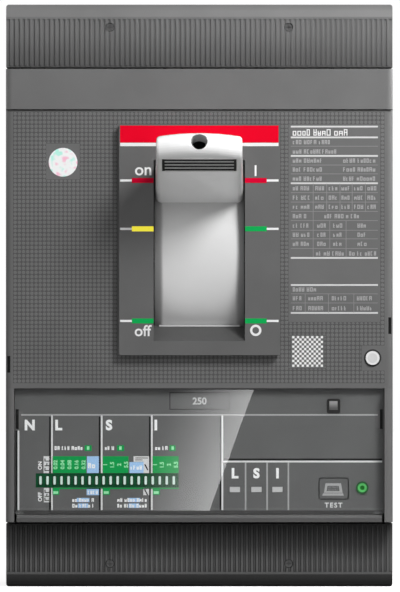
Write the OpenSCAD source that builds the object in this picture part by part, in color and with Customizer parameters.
// Three-pole molded case circuit breaker, fixed version with front terminals.
// Frame: X to the right, Z up, the front faces -Y. The origin is the centre of
// the rear mounting face. Depths are distances in front of that face.

/* [Case] */
// Width across the three poles
body_w = 140; // [139:1:150]
// Height over both terminal covers
body_h = 211; // [209:1:216]
// Depth from the mounting face to the front of the escutcheon
body_d = 103.5; // [101:0.5:108]
// Distance between neighbouring poles
pole_pitch = 46.5; // [45:0.1:47]
// Height of the deep middle part of the case
core_h = 164; // [163:1:166]
// Depth at which the rear base meets the front housing
split_d = 58; // [56:1:62]
// Radius of the case corners seen from the front
corner_r = 1; // [0.6:0.2:3]
// Rounding along both sides of the case's front
edge_r = 2.2; // [1:0.2:2.4]

/* [Terminal covers] */
// Depth of the terminal covers' ribbed front
cover_d = 92; // [88:1:94]
// Rounding of each cover's outer front edge
cover_round = 4.2; // [3:0.2:5]
// How far the smooth band beyond the ribs leans back
band_lean = 0.6; // [0.2:0.2:1.6]
// Distance between neighbouring ribs
rib_pitch = 1.82; // [1.6:0.02:2.4]
// Height of a rib above its groove
rib_h = 0.5; // [0.3:0.1:1]
// Height of the ribbed band on each cover
rib_band = 17.4; // [14:0.2:17.6]

/* [Terminals] */
// Width of a terminal chamber
chamber_w = 38; // [34:0.5:40]
// Width of a terminal's copper bar
bar_w = 30; // [24:1:32]
// Thickness of a terminal's copper bar
bar_t = 6; // [4:0.5:8]

/* [Toggle] */
// Height of the toggle's pivot above the middle of the case
pivot_z = 16.2; // [15:0.1:18]
// Radius of the curved shield about the pivot
shield_r = 55; // [54:0.5:55.5]
// Angle of the lever above the horizontal when the breaker is on
lever_angle = 23.65; // [22:0.05:24]
// Turn of the toggle from on to off
toggle_swing = 46.5; // [44:0.5:46.5]
// Width of the lever
lever_w = 32; // [28:0.2:32.2]
// Thickness of the lever at its tip
lever_t = 9.1; // [8.6:0.1:10]
// Radius of the hole in the lever's tip for an extension lever
tip_hole_r = 3; // [2:0.1:3.2]
// Number of ridges on the lever's grip
grip_ridges = 3; // [2:1:5]

/* [Trip unit] */
// Width of the recess that holds the trip unit
recess_w = 134; // [130:1:135]
// Height of the trip unit's face
face_h = 44.2; // [42:0.2:44.6]
// Thickness of the clear cover
clear_t = 2; // [1.5:0.1:2.5]
// Number of setting levers
dip_count = 20; // [8:1:20]
// Distance between neighbouring setting levers
dip_pitch = 2.54; // [2.3:0.02:2.6]

/* [Hidden] */
$fn = 64;
eps = 0.02;

// Depths of the front layers
plate_t = 3;
cover_t = 3;
front_d = body_d - plate_t;
housing_d = front_d - cover_t;

// Base and its terminal chambers
core_z = core_h / 2;
end_z = body_h / 2;
base_end_z = end_z - 2.5;
bar_d = 28;
bar_edge = 3;
chamber_floor_d = 22;
chamber_top_d = cover_d - 24;
chamber_in_z = core_z - 4;
rib_inset = 0.6;
mount_hole_r = 2.75;
mount_hole_z = 90;
terminal_screw_z = 90;

// Front cover and escutcheon
cover_low_z = -33.6;
cover_high_z = 67;
seam_w = 0.4;
escutcheon_w = 58;
escutcheon_low_z = -21.6;
escutcheon_high_z = 61.8;
slot_w = 33;
slot_low_z = -16.5;
slot_high_z = 49;
collar_t = 2;
collar_d = body_d - 9.2;
ramp_z = -11.2;
side_slot_inset = 1.05;
side_slot_w = 1.1;
side_slot_h = 6;
right_slot_z = -10.9;
left_slot_z = -24.9;

// Toggle
pivot_d = body_d - 58;
shield_t = 2.5;
shield_edge_w = 3.3;
shield_edge_a = 38;
shield_edge_r = 2;
shield_w = slot_w - 0.6;
shield_lap = 3;
shield_low_a = asin((ramp_z - pivot_z) / shield_r) - shield_lap;
shield_high_a = asin((slot_high_z - pivot_z) / shield_r) + toggle_swing + shield_lap;
cavity_gap = 2.5;
cavity_w = slot_w + 1.4;
cavity_back_d = pivot_d - 10.5;
hub_r = 9;
hub_w = 26;
cheek_t = 3;
cheek_spread = 14;
shaft_r = 4;
shaft_w = 52;
tip_z = 53.85;
tip_u = (tip_z - pivot_z) / sin(lever_angle);
tip_r = lever_t / 2;
tip_crown = 2.6;
tip_edge_r = 1.4;
tip_taper = 0.5;
root_u = shield_r - 6;
root_r = 2.5;
root_t = 10.2;
tip_hole_l = 18.5;
grip_u = tip_u - 12.2;
grip_l = 10.4;
grip_w = 27;
grip_floor = 1.1 - tip_r;
grip_fit = 0.1;
ridge_w = 0.7;

// Recess of the trip unit, with the clear cover hinged above the sill
recess_high_z = cover_low_z;
pocket_d = front_d - 24.5;
face_d = front_d - 5;
unit_w = recess_w - 0.4;
unit_low_z = recess_high_z - face_h;
clear_front_d = front_d - 2;
clear_w = recess_w - 1.2;
clear_high_z = recess_high_z - 0.5;
hinge_r = clear_t / 2;
hinge_d = clear_front_d - hinge_r;
hinge_z = unit_low_z - 0.3;
hinge_ear_w = 3;
hinge_pin_r = 0.7;
hinge_pin_x = recess_w / 2 + 0.9;
sill_high_z = hinge_z - hinge_r - 0.3;
sill_edge = 1.1;
sill_gap = 0.9;
finger_notch_w = 2.6;
finger_notch_h = 6.1;
finger_notch_z = -44.85;
knob_x = 48.55;
knob_z = -40.05;
knob_lift = 0.25;
knob_w = 2.9;
knob_h = 3.1;
knob_rise = 1.1;
bezel_w = 4.9;
bezel_h = 5.4;
bezel_r = 0.8;

// Parts let into the trip unit's face
seat_gap = 0.35;
seat_t = 2;
face_lift = 0.3;
plug_x = 0.1;
plug_z = -38.2;
plug_w = 21.9;
plug_h = 6.4;
dip_left_x = -59.3;
dip_z = -66.95;
dip_h = 5.2;
dip_margin = 1.8;
dip_w = dip_count * dip_pitch + 1.06;
dip_slot_w = 1.5;
dip_slot_h = 3.7;
dip_slot_d = face_d - 1.3;
dip_lever_w = 0.9;
dip_lever_h = 3.1;
dip_lever_r = 0.4;
lamp_x = [12.9, 20.7, 28.3];
lamp_z = -70.25;
lamp_w = 4;
lamp_h = 2.2;
lamp_fit = 0.3;
port_x = 48.65;
port_z = -69.9;
port_w = 11;
port_h = 8;
port_r = 1.2;
led_x = 59;
led_z = -69.6;
led_r = 1.95;

// Trip button
button_x = body_w / 2 - 7.3;
button_z = -22.6;
button_r = 2.5;
button_stroke = 2.5;
button_rise = 0.8;
button_back_d = front_d - 12.5;
button_gap = 0.1;
ring_w = 0.65;

// Wells and heads of the terminal cover screws
well_x = 32.4;
well_z = 97.2;
well_r = 1.6;
well_l = 8;
well_fit = 0.25;
well_sink = 0.6;
drive_l = 1.9;
drive_w = 0.45;
drive_depth = 0.8;

function pole_x(i) = (i - 1) * pole_pitch;
function arc(x, y, r, from_a, to_a, steps = 8) =
    [for (i = [0:steps])
        let (a = from_a + (to_a - from_a) * i / steps)
            [x + r * cos(a), y + r * sin(a)]];

// Extrudes a profile drawn in Y and Z along X, centred on the middle plane
module along_x(w) {
    rotate([90, 0, 90])
        linear_extrude(w, center = true)
            children();
}

// Extrudes a profile drawn in X and Z from one depth to a greater one
module in_depth(from_d, to_d) {
    translate([0, -from_d, 0])
        rotate([90, 0, 0])
            linear_extrude(to_d - from_d)
                children();
}

// A box given by its width, its two depths and its two heights
module slab(x, w, from_d, to_d, low_z, high_z) {
    translate([x - w / 2, -to_d, low_z])
        cube([w, to_d - from_d, high_z - low_z]);
}

// A box given by its middle and size seen from the front
module tile(x, z, w, h, from_d, to_d) {
    slab(x, w, from_d, to_d, z - h / 2, z + h / 2);
}

// A round bar along Y from one depth to a greater one
module peg(x, z, r, from_d, to_d) {
    translate([x, -from_d, z])
        rotate([90, 0, 0])
            cylinder(r = r, h = to_d - from_d);
}

// A cylinder along X, centred on the middle plane
module axle(r, w, d, z) {
    translate([0, -d, z])
        rotate([0, 90, 0])
            cylinder(r = r, h = w, center = true);
}

// A rectangle with rounded corners, centred on the origin
module rounded(w, h, r) {
    square([w - 2 * r, h], center = true);
    square([w, h - 2 * r], center = true);
    for (x = [-1, 1], z = [-1, 1])
        translate([x * (w / 2 - r), z * (h / 2 - r)])
            circle(r);
}

// A block with rounded corners, given by its middle and size from the front
module rounded_tile(x, z, w, h, r, from_d, to_d) {
    translate([x, 0, z])
        in_depth(from_d, to_d)
            rounded(w, h, r);
}

// A front layer of the case's full width, rounded along both sides
module front_layer(low_z, high_z) {
    edge_x = body_w / 2 - edge_r;
    edge_y = edge_r - front_d;
    translate([0, 0, low_z])
        linear_extrude(high_z - low_z)
            polygon(concat(
                [[-body_w / 2, -housing_d]],
                arc(-edge_x, edge_y, edge_r, 180, 270),
                arc(edge_x, edge_y, edge_r, 270, 360),
                [[body_w / 2, -housing_d]]
            ));
}

// Space swept by the toggle's shield inside the case
module toggle_cavity() {
    intersection() {
        axle(shield_r + cavity_gap, cavity_w, pivot_d, pivot_z);
        slab(0, cavity_w + 2, cavity_back_d, body_d, -core_z, core_z);
    }
}

// Opening for the escutcheon's collar, from the given depth to the front
module collar_opening(from_d) {
    margin = collar_t + 0.1;
    slab(0, slot_w + 2 * margin, from_d, body_d, slot_low_z - margin, slot_high_z + margin);
}

module base() {
    color("dimgray")
        difference() {
            in_depth(0, split_d)
                rounded(body_w, 2 * base_end_z, corner_r);
            for (end = [0, 1], i = [0:2])
                mirror([0, 0, end])
                    slab(pole_x(i), chamber_w, chamber_floor_d, split_d + 1, chamber_in_z, end_z + 1);
            toggle_cavity();
            for (x = [-1, 1], z = [-1, 1])
                peg(x * pole_pitch / 2, z * mount_hole_z, mount_hole_r, -1, split_d + 1);
            axle(shaft_r + 0.02, shaft_w, pivot_d, pivot_z);
        }
}

module front_housing() {
    color("dimgray")
        difference() {
            union() {
                in_depth(split_d, housing_d)
                    square([body_w, core_h], center = true);
                front_layer(cover_high_z + seam_w, core_z);
                front_layer(-core_z, cover_low_z);
            }
            toggle_cavity();
            collar_opening(collar_d - 0.1);
            slab(0, recess_w, pocket_d, body_d, -core_z - 1, recess_high_z);
            axle(hinge_pin_r + 0.05, 2 * hinge_pin_x + 0.4, hinge_d, hinge_z);
            peg(button_x, button_z, button_r + button_gap, button_back_d - button_stroke - 0.5, body_d);
        }
}

module front_cover() {
    side_slot_x = body_w / 2 - side_slot_inset;
    color("gray")
        difference() {
            front_layer(cover_low_z, cover_high_z);
            collar_opening(housing_d - 1);
            peg(button_x, button_z, button_r + ring_w, housing_d - 1, front_d + 1);
            tile(side_slot_x, right_slot_z, side_slot_w, side_slot_h, housing_d - 1, front_d + 1);
            tile(-side_slot_x, left_slot_z, side_slot_w, side_slot_h, housing_d - 1, front_d + 1);
        }
}

module escutcheon() {
    h = escutcheon_high_z - escutcheon_low_z;
    mid_z = (escutcheon_high_z + escutcheon_low_z) / 2;
    color("dimgray")
        difference() {
            union() {
                rounded_tile(0, mid_z, escutcheon_w, h, 0.8, front_d, body_d);
                slab(0, slot_w + 2 * collar_t, collar_d, front_d + eps,
                    slot_low_z - collar_t, slot_high_z + collar_t);
            }
            along_x(slot_w)
                polygon([
                    [-collar_d + 1, ramp_z],
                    [-collar_d, ramp_z],
                    [-body_d, slot_low_z],
                    [-body_d - 1, slot_low_z],
                    [-body_d - 1, slot_high_z],
                    [-collar_d + 1, slot_high_z]
                ]);
        }
}

// Places what is drawn with the lever pointing along +X in the lever's own
// plane: X away from the pivot, Y across the lever and Z square to it
module lever_frame() {
    translate([0, -pivot_d, pivot_z])
        rotate([-lever_angle, 0, 0])
            rotate([0, 0, -90])
                children();
}

// The lever's outer form: a flat root, a tip crowned across its width, and a
// small rounding where the tip meets the sides
module lever_blade() {
    end_y = lever_w / 2 - tip_taper - tip_edge_r;
    root_y = lever_w / 2 - root_r;
    hull() {
        for (side = [-1, 1]) {
            translate([tip_u - tip_crown, side * end_y, 0])
                rotate([90, 0, 0])
                    rotate_extrude($fn = 32)
                        translate([tip_r - tip_edge_r, 0])
                            circle(tip_edge_r, $fn = 16);
            for (face = [-1, 1])
                translate([root_u, side * root_y, face * (root_t / 2 - root_r)])
                    sphere(root_r, $fn = 16);
        }
        for (step = [-0.75:0.25:0.75])
            translate([tip_u - tip_crown * step * step, step * end_y, 0])
                rotate([90, 0, 0])
                    cylinder(r = tip_r, h = 0.2, center = true, $fn = 32);
    }
}

module toggle_lever() {
    color("silver")
        lever_frame()
            difference() {
                lever_blade();
                rotate([90, 0, 0])
                    cylinder(r = shield_r + eps, h = lever_w + 2, center = true);
                translate([tip_u + tip_r - tip_hole_l, 0, 0])
                    rotate([0, 90, 0])
                        cylinder(r = tip_hole_r, h = tip_hole_l + 1);
                translate([tip_u + tip_r - 0.5, 0, 0])
                    rotate([0, 90, 0])
                        cylinder(r = tip_hole_r + 1, h = 2);
                translate([grip_u, -grip_w / 2, grip_floor - 3])
                    cube([grip_l, grip_w, 3]);
            }
}

// Dark insert in the lever's lower face: a plate with ridges across it
module lever_grip() {
    plate_h = 0.4;
    ridge_h = 1;
    span = grip_l - 2 * grip_fit;
    groove = (span - grip_ridges * ridge_w) / (grip_ridges + 1);
    ridge = [[0, plate_h], [0, ridge_h], [ridge_w, ridge_h], [ridge_w, plate_h]];
    color("black")
        lever_frame()
            translate([grip_u + grip_fit, 0, grip_floor])
                rotate([90, 0, 0])
                    linear_extrude(grip_w - 2 * grip_fit, center = true)
                        polygon(concat(
                            [[span, 0], [0, 0], [0, -plate_h]],
                            [for (i = [0:grip_ridges - 1])
                                let (x = groove + i * (groove + ridge_w))
                                    for (p = ridge)
                                        [x + p[0], -p[1]]],
                            [[span, -plate_h]]
                        ));
}

// Curved shield about the pivot, whose front falls away in a slope along both sides
module toggle_shield() {
    flat_x = shield_w / 2 - shield_edge_w;
    slope_x = shield_edge_w - shield_edge_r * sin(shield_edge_a);
    crest = arc(shield_r - shield_edge_r, flat_x, shield_edge_r, 0, shield_edge_a, 5);
    rim_r = shield_r - shield_edge_r * (1 - cos(shield_edge_a)) - slope_x * tan(shield_edge_a);
    rim = concat(crest, [[rim_r, shield_w / 2]]);
    color("gainsboro")
        translate([0, -pivot_d, pivot_z])
            rotate([0, 90, 0])
                rotate_extrude(angle = shield_high_a - shield_low_a, start = -90 - shield_high_a, $fn = 180)
                    polygon(concat(
                        [[shield_r - shield_t, -shield_w / 2], [shield_r - shield_t, shield_w / 2]],
                        [for (i = [len(rim) - 1:-1:0]) rim[i]],
                        [for (p = rim) [p[0], -p[1]]]
                    ));
}

module toggle_hub() {
    cheek_u = shield_r - 2;
    color("darkgray")
        lever_frame()
            difference() {
                union() {
                    rotate([90, 0, 0])
                        cylinder(r = hub_r, h = hub_w, center = true);
                    for (side = [-1, 1])
                        translate([0, side * (hub_w - cheek_t) / 2, 0])
                            rotate([90, 0, 0])
                                linear_extrude(cheek_t, center = true)
                                    polygon([
                                        [0, -hub_r],
                                        [cheek_u, -cheek_spread],
                                        [cheek_u, cheek_spread],
                                        [0, hub_r]
                                    ]);
                }
                rotate([90, 0, 0])
                    cylinder(r = shaft_r + 0.05, h = hub_w + 2, center = true);
                difference() {
                    rotate([90, 0, 0])
                        cylinder(r = shield_r + 10, h = hub_w + 2, center = true);
                    rotate([90, 0, 0])
                        cylinder(r = shield_r - shield_t, h = hub_w + 4, center = true);
                }
            }
}

module pivot_shaft() {
    color("lightsteelblue")
        axle(shaft_r, shaft_w, pivot_d, pivot_z);
}

// Cross-section of the ribbed band: a comb of tapered teeth that point to the
// front, whose back is sunk in the cover's wall
module rib_comb() {
    rib_count = floor((body_w - 1) / rib_pitch);
    end_x = rib_count * rib_pitch / 2;
    foot = rib_pitch * 0.36;
    tip = rib_pitch * 0.2;
    front_y = 0.05 - cover_d;
    root_y = rib_h + 0.3 - cover_d;
    polygon(concat(
        [[end_x, root_y + 0.7], [-end_x, root_y + 0.7], [-end_x, root_y]],
        [for (i = [0:rib_count - 1])
            let (x = (i + 0.5) * rib_pitch - end_x)
                for (p = [[-foot, root_y], [-tip, front_y], [tip, front_y], [foot, root_y]])
                    [x + p[0], p[1]]],
        [[end_x, root_y]]
    ));
}

// Side profile of a terminal cover: a ribbed field, then a smooth band that
// leans back to a rounded outer edge
module cover_profile(low_z, band_z) {
    edge_d = cover_d - band_lean - cover_round;
    end_wall_d = 12;
    polygon(concat(
        [
            [-split_d, low_z],
            [rib_h - cover_d, low_z],
            [rib_h - cover_d, band_z],
            [-cover_d, band_z],
            [-cover_d, band_z + rib_inset + 0.3]
        ],
        arc(-edge_d, end_z - cover_round, cover_round, 155, 90),
        [
            [-end_wall_d, end_z],
            [-end_wall_d, base_end_z + 0.1],
            [-split_d, base_end_z + 0.1]
        ]
    ));
}

// A terminal cover at the upper end: ribbed front, rounded outer edge, an end
// wall with one opening a pole, and the chambers hollowed out behind it
module terminal_cover() {
    low_z = core_z + 0.7;
    band_z = low_z + rib_band;
    difference() {
        union() {
            intersection() {
                along_x(body_w)
                    cover_profile(low_z, band_z);
                in_depth(0, cover_d + 1)
                    rounded(body_w, body_h, corner_r);
            }
            translate([0, 0, low_z + rib_inset])
                linear_extrude(rib_band)
                    rib_comb();
        }
        for (i = [0:2]) {
            slab(pole_x(i), chamber_w, split_d - 1, chamber_top_d, low_z - 1, base_end_z + 0.1);
            slab(pole_x(i), chamber_w - 4, chamber_floor_d + 2, chamber_top_d - 2, base_end_z - 1, end_z + 1);
        }
        for (x = [-1, 1])
            peg(x * well_x, well_z, well_r, cover_d - well_l, cover_d + 1);
    }
}

module line_terminal_cover() {
    color("dimgray")
        terminal_cover();
}

module load_terminal_cover() {
    color("dimgray")
        mirror([0, 0, 1])
            terminal_cover();
}

// Two cover screws with cross-shaped drives, sunk in their wells
module cover_screws() {
    head_d = cover_d - well_sink;
    for (x = [-1, 1])
        difference() {
            peg(x * well_x, well_z, well_r - well_fit, cover_d - well_l, head_d);
            for (turn = [0, 90])
                translate([x * well_x, -head_d, well_z])
                    rotate([0, turn, 0])
                        cube([drive_l, 2 * drive_depth, drive_w], center = true);
        }
}

module line_cover_screws() {
    color("gray")
        cover_screws();
}

module load_cover_screws() {
    color("gray")
        mirror([0, 0, 1])
            cover_screws();
}

// Copper bar of one upper terminal, lying on the pad of the chamber's floor
module terminal(i) {
    bar_end_z = base_end_z - 1;
    slab(pole_x(i), bar_w, bar_d, bar_d + bar_t, chamber_in_z, bar_end_z);
    slab(pole_x(i), bar_w - 2 * bar_edge, chamber_floor_d, bar_d, chamber_in_z, bar_end_z - bar_edge);
}

module line_terminal_left() {
    color("peru")
        terminal(0);
}

module line_terminal_middle() {
    color("peru")
        terminal(1);
}

module line_terminal_right() {
    color("peru")
        terminal(2);
}

module load_terminal_left() {
    color("peru")
        mirror([0, 0, 1])
            terminal(0);
}

module load_terminal_middle() {
    color("peru")
        mirror([0, 0, 1])
            terminal(1);
}

module load_terminal_right() {
    color("peru")
        mirror([0, 0, 1])
            terminal(2);
}

// Socket-head screws and washers on the three upper terminals
module terminal_screws() {
    washer_d = bar_d + bar_t;
    washer_r = 10;
    head_d = washer_d + 2;
    head_l = 8;
    head_r = 8;
    socket_r = 4.6;
    socket_floor = 3;
    for (i = [0:2])
        difference() {
            union() {
                peg(pole_x(i), terminal_screw_z, washer_r, washer_d, head_d);
                peg(pole_x(i), terminal_screw_z, head_r, head_d, head_d + head_l);
            }
            translate([pole_x(i), -head_d - socket_floor, terminal_screw_z])
                rotate([90, 0, 0])
                    cylinder(r = socket_r, h = head_l, $fn = 6);
        }
}

module line_terminal_screws() {
    color("silver")
        terminal_screws();
}

module load_terminal_screws() {
    color("silver")
        mirror([0, 0, 1])
            terminal_screws();
}

// Places what is drawn for one setting lever at each of them
module each_dip() {
    for (i = [0:dip_count - 1])
        translate([dip_left_x + dip_margin + i * dip_pitch, 0, dip_z])
            children();
}

module trip_unit() {
    seat_d = face_d - seat_t;
    color("dimgray")
        difference() {
            slab(0, unit_w, pocket_d, face_d, unit_low_z, recess_high_z - 0.2);
            tile(plug_x, plug_z, plug_w, plug_h, seat_d, body_d);
            tile(dip_left_x + dip_w / 2, dip_z, dip_w, dip_h, seat_d, body_d);
            for (x = lamp_x)
                tile(x, lamp_z, lamp_w, lamp_h, seat_d, body_d);
            rounded_tile(port_x, port_z, port_w, port_h, port_r, seat_d, body_d);
            peg(led_x, led_z, led_r, seat_d, body_d);
        }
}

module rating_plug() {
    color("gray")
        tile(plug_x, plug_z, plug_w - 2 * seat_gap, plug_h - 2 * seat_gap, face_d - seat_t, face_d);
}

module dip_switch_block() {
    color("darkgreen")
        difference() {
            tile(dip_left_x + dip_w / 2, dip_z, dip_w - 0.1, dip_h - 0.1, face_d - seat_t, face_d - 0.3);
            each_dip()
                tile(0, 0, dip_slot_w, dip_slot_h, dip_slot_d, body_d);
        }
}

module dip_levers() {
    color("white")
        each_dip()
            rounded_tile(0, 0, dip_lever_w, dip_lever_h, dip_lever_r, dip_slot_d, face_d + face_lift);
}

module trip_indicators() {
    color("lightgray")
        for (x = lamp_x)
            tile(x, lamp_z, lamp_w - lamp_fit, lamp_h - lamp_fit, face_d - seat_t, face_d);
}

module test_port_cap() {
    w = port_w - 2 * seat_gap;
    h = port_h - 2 * seat_gap;
    color("gray")
        rounded_tile(port_x, port_z, w, h, port_r - seat_gap, face_d - seat_t, face_d);
}

module status_led() {
    color("green")
        difference() {
            peg(led_x, led_z, led_r - 0.1, face_d - seat_t, face_d + face_lift);
            peg(led_x, led_z, led_r * 0.45, face_d - 0.4, face_d + 1);
        }
}

// Bar below the trip unit, bevelled towards it, between the case's side rims
module recess_sill() {
    sill_front_d = front_d - 0.3;
    color("dimgray")
        along_x(recess_w - 2 * sill_gap)
            polygon([
                [-pocket_d, -core_z],
                [-sill_front_d, -core_z],
                [-sill_front_d, sill_high_z - sill_edge],
                [sill_edge - sill_front_d, sill_high_z],
                [-pocket_d, sill_high_z]
            ]);
}

// The clear cover turns on two pins, which stand on an ear at each lower corner
module clear_cover() {
    notch_x = (clear_w - finger_notch_w) / 2;
    ear_x = (clear_w - hinge_ear_w) / 2;
    pin_l = hinge_pin_x - ear_x;
    back_d = clear_front_d - clear_t;
    color("lightblue", 0.35)
        difference() {
            union() {
                slab(0, clear_w, back_d, clear_front_d, hinge_z + 0.2, clear_high_z);
                for (side = [-1, 1]) {
                    slab(side * ear_x, hinge_ear_w, back_d, clear_front_d, hinge_z, hinge_z + 1);
                    translate([side * ear_x, 0, 0])
                        axle(hinge_r, hinge_ear_w, hinge_d, hinge_z);
                    translate([side * (ear_x + pin_l / 2), 0, 0])
                        axle(hinge_pin_r, pin_l, hinge_d, hinge_z);
                }
            }
            for (side = [-1, 1])
                tile(side * notch_x, finger_notch_z, finger_notch_w + eps, finger_notch_h, face_d, body_d);
            rounded_tile(knob_x, knob_z, bezel_w, bezel_h, bezel_r, face_d, body_d);
        }
}

// Bezel of the locking knob, let into the clear cover
module knob_collar() {
    back_d = clear_front_d - clear_t - 0.5;
    color("black")
        difference() {
            rounded_tile(knob_x, knob_z, bezel_w - eps, bezel_h - eps, bezel_r - eps,
                back_d, clear_front_d + face_lift);
            tile(knob_x, knob_z + knob_lift, knob_w + 0.1, knob_h + 0.1, face_d, body_d);
        }
}

module cover_knob() {
    color("gray")
        tile(knob_x, knob_z + knob_lift, knob_w, knob_h, clear_front_d - clear_t, clear_front_d + knob_rise);
}

module trip_button() {
    color("lightgray")
        peg(button_x, button_z, button_r, button_back_d, front_d + button_rise);
}

module trip_button_ring() {
    color("dimgray")
        difference() {
            peg(button_x, button_z, button_r + ring_w, housing_d, front_d - 0.3);
            peg(button_x, button_z, button_r + button_gap, housing_d - 1, front_d + 1);
        }
}

base();
front_housing();
front_cover();
escutcheon();
toggle_lever();
lever_grip();
toggle_shield();
toggle_hub();
pivot_shaft();
line_terminal_cover();
load_terminal_cover();
line_cover_screws();
load_cover_screws();
line_terminal_left();
line_terminal_middle();
line_terminal_right();
load_terminal_left();
load_terminal_middle();
load_terminal_right();
line_terminal_screws();
load_terminal_screws();
trip_unit();
rating_plug();
dip_switch_block();
dip_levers();
trip_indicators();
test_port_cap();
status_led();
recess_sill();
clear_cover();
knob_collar();
cover_knob();
trip_button();
trip_button_ring();
